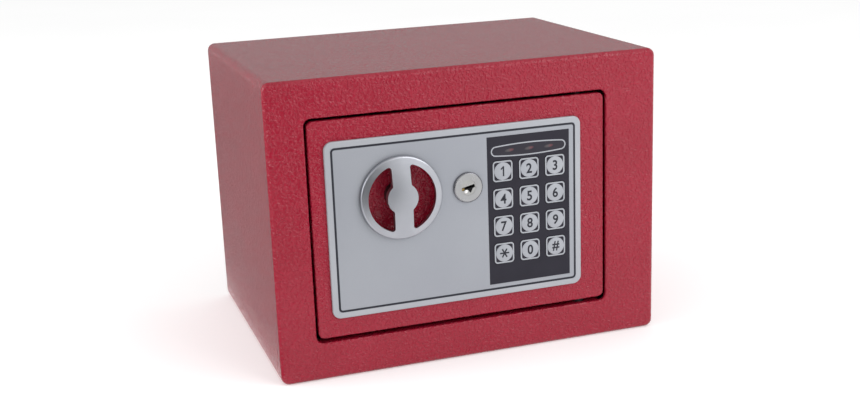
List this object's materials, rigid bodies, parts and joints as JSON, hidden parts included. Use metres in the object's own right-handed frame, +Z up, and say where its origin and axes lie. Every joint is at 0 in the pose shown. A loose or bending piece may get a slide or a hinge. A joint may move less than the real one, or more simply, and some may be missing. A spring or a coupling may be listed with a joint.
{
  "type": "electronic safe",
  "caption": "Small steel security safe with a flush hinged door, turn knob, electronic keypad, override key lock and sliding locking bolts.",
  "frame": {"origin": "middle of the underside of the steel body, on the surface that it stands on", "axes": "+X to the right seen from the front, +Y from the front to the back, +Z up"},
  "size_m": [0.23, 0.1766, 0.17],
  "materials": {
    "red_powder_coat": "fine wrinkle powder coat, semi-gloss",
    "zinc_steel": "zinc plated, satin",
    "black_steel": "black oxide, oiled",
    "bolt_steel": "nickel plated, polished",
    "silver_paint": "satin silver with a printed dark frame line",
    "satin_metal": "satin cast metal, plated",
    "chrome_lock": "polished",
    "brass_plug": "worn",
    "keypad_dark": "dark printed plastic",
    "key_caps": "grey discs and outlines on dark caps, dark figures",
    "window_tint": "smoked plastic",
    "led_plastic": "frosted",
    "black_plastic": "fine moulded grain",
    "switch_rubber": "silicone rubber",
    "circuit_board": "green solder mask",
    "component_plastic": "black packages",
    "copper_coil": "lacquered winding with tape",
    "button_red": "red button",
    "cell_wrap": "plain printed wrap",
    "grey_felt": "needle felt"
  },
  "bodies": {
    "safe_body": {"body_shell": "red_powder_coat", "back_panel": "red_powder_coat", "floor_mat": "grey_felt"},
    "door": {"door_plate": "red_powder_coat", "hinge_lug_top": "black_steel", "hinge_lug_bottom": "black_steel", "hinge_pin_top": "black_steel", "hinge_pin_bottom": "black_steel", "hinge_washer": "black_steel", "fascia_panel": "silver_paint", "fascia_nuts": "zinc_steel", "keypad_bezel": "keypad_dark", "status_window": "window_tint", "status_leds": "led_plastic", "keypad_mat": "switch_rubber", "keypad_board": "circuit_board", "board_screws": "zinc_steel", "board_spacers": "black_plastic", "control_board": "circuit_board", "board_components": "component_plastic", "knob_bushing": "black_plastic", "bolt_guide": "zinc_steel", "carriage_studs": "zinc_steel", "lock_body": "chrome_lock", "lock_nut": "zinc_steel", "solenoid_frame": "zinc_steel", "solenoid_coil": "copper_coil", "plunger_spring": "zinc_steel", "inner_cover": "black_plastic", "cover_screws": "zinc_steel", "battery_box": "black_plastic", "batteries": "cell_wrap"},
    "knob": {"knob": "satin_metal", "knob_shaft": "zinc_steel", "knob_crank": "zinc_steel", "shaft_nut": "zinc_steel"},
    "bolt_work": {"bolt_carriage": "zinc_steel", "bolt_upper": "bolt_steel", "bolt_lower": "bolt_steel"},
    "key_lock": {"lock_plug": "brass_plug", "lock_cam": "zinc_steel"},
    "plunger": {"solenoid_plunger": "bolt_steel"},
    "reset_button": {"reset_button": "button_red"},
    "battery_lid": {"battery_cover": "black_plastic"},
    "keypad_1": {"key_1": "key_caps"},
    "keypad_2": {"key_2": "key_caps"},
    "keypad_3": {"key_3": "key_caps"},
    "keypad_4": {"key_4": "key_caps"},
    "keypad_5": {"key_5": "key_caps"},
    "keypad_6": {"key_6": "key_caps"},
    "keypad_7": {"key_7": "key_caps"},
    "keypad_8": {"key_8": "key_caps"},
    "keypad_9": {"key_9": "key_caps"},
    "keypad_star": {"key_star": "key_caps"},
    "keypad_0": {"key_0": "key_caps"},
    "keypad_hash": {"key_hash": "key_caps"}
  },
  "joints": [
    {"name": "door_swing", "type": "hinge", "parent": "safe_body", "child": "door", "pos_m": [0.0675, -0.078, 0.086], "axis": [0, 0, 1], "range_deg": [0, 110]},
    {"name": "knob_turn", "type": "hinge", "parent": "door", "child": "knob", "pos_m": [-0.0424, -0.085, 0.1009], "axis": [0, -1, 0], "range_deg": [0, 90]},
    {"name": "bolt_throw", "type": "slide", "parent": "door", "child": "bolt_work", "axis": [-1, 0, 0], "range_m": [0, 0.012]},
    {"name": "key_turn", "type": "hinge", "parent": "door", "child": "key_lock", "pos_m": [-0.003, -0.085, 0.1017], "axis": [0, 1, 0], "range_deg": [0, 90]},
    {"name": "plunger_lift", "type": "slide", "parent": "door", "child": "plunger", "axis": [0, 0, 1], "range_m": [0, 0.005], "deforming": ["plunger_spring"]},
    {"name": "reset_press", "type": "slide", "parent": "door", "child": "reset_button", "axis": [0, -1, 0], "range_m": [0, 0.001], "stiffness_N_per_m": 400, "springref_m": -0.001},
    {"name": "battery_lid_swing", "type": "hinge", "parent": "door", "child": "battery_lid", "pos_m": [0.034, -0.05235, 0.033], "axis": [-1, 0, 0], "range_deg": [0, 110]},
    {"name": "press_1", "type": "slide", "parent": "door", "child": "keypad_1", "axis": [0, 1, 0], "range_m": [0, 0.0004], "stiffness_N_per_m": 600, "springref_m": -0.0005},
    {"name": "press_2", "type": "slide", "parent": "door", "child": "keypad_2", "axis": [0, 1, 0], "range_m": [0, 0.0004], "stiffness_N_per_m": 600, "springref_m": -0.0005},
    {"name": "press_3", "type": "slide", "parent": "door", "child": "keypad_3", "axis": [0, 1, 0], "range_m": [0, 0.0004], "stiffness_N_per_m": 600, "springref_m": -0.0005},
    {"name": "press_4", "type": "slide", "parent": "door", "child": "keypad_4", "axis": [0, 1, 0], "range_m": [0, 0.0004], "stiffness_N_per_m": 600, "springref_m": -0.0005},
    {"name": "press_5", "type": "slide", "parent": "door", "child": "keypad_5", "axis": [0, 1, 0], "range_m": [0, 0.0004], "stiffness_N_per_m": 600, "springref_m": -0.0005},
    {"name": "press_6", "type": "slide", "parent": "door", "child": "keypad_6", "axis": [0, 1, 0], "range_m": [0, 0.0004], "stiffness_N_per_m": 600, "springref_m": -0.0005},
    {"name": "press_7", "type": "slide", "parent": "door", "child": "keypad_7", "axis": [0, 1, 0], "range_m": [0, 0.0004], "stiffness_N_per_m": 600, "springref_m": -0.0005},
    {"name": "press_8", "type": "slide", "parent": "door", "child": "keypad_8", "axis": [0, 1, 0], "range_m": [0, 0.0004], "stiffness_N_per_m": 600, "springref_m": -0.0005},
    {"name": "press_9", "type": "slide", "parent": "door", "child": "keypad_9", "axis": [0, 1, 0], "range_m": [0, 0.0004], "stiffness_N_per_m": 600, "springref_m": -0.0005},
    {"name": "press_star", "type": "slide", "parent": "door", "child": "keypad_star", "axis": [0, 1, 0], "range_m": [0, 0.0004], "stiffness_N_per_m": 600, "springref_m": -0.0005},
    {"name": "press_0", "type": "slide", "parent": "door", "child": "keypad_0", "axis": [0, 1, 0], "range_m": [0, 0.0004], "stiffness_N_per_m": 600, "springref_m": -0.0005},
    {"name": "press_hash", "type": "slide", "parent": "door", "child": "keypad_hash", "axis": [0, 1, 0], "range_m": [0, 0.0004], "stiffness_N_per_m": 600, "springref_m": -0.0005}
  ],
  "couplings": [
    {"joint": "knob_turn", "follows": "bolt_throw", "rad_per_m": 130.89}
  ]
}
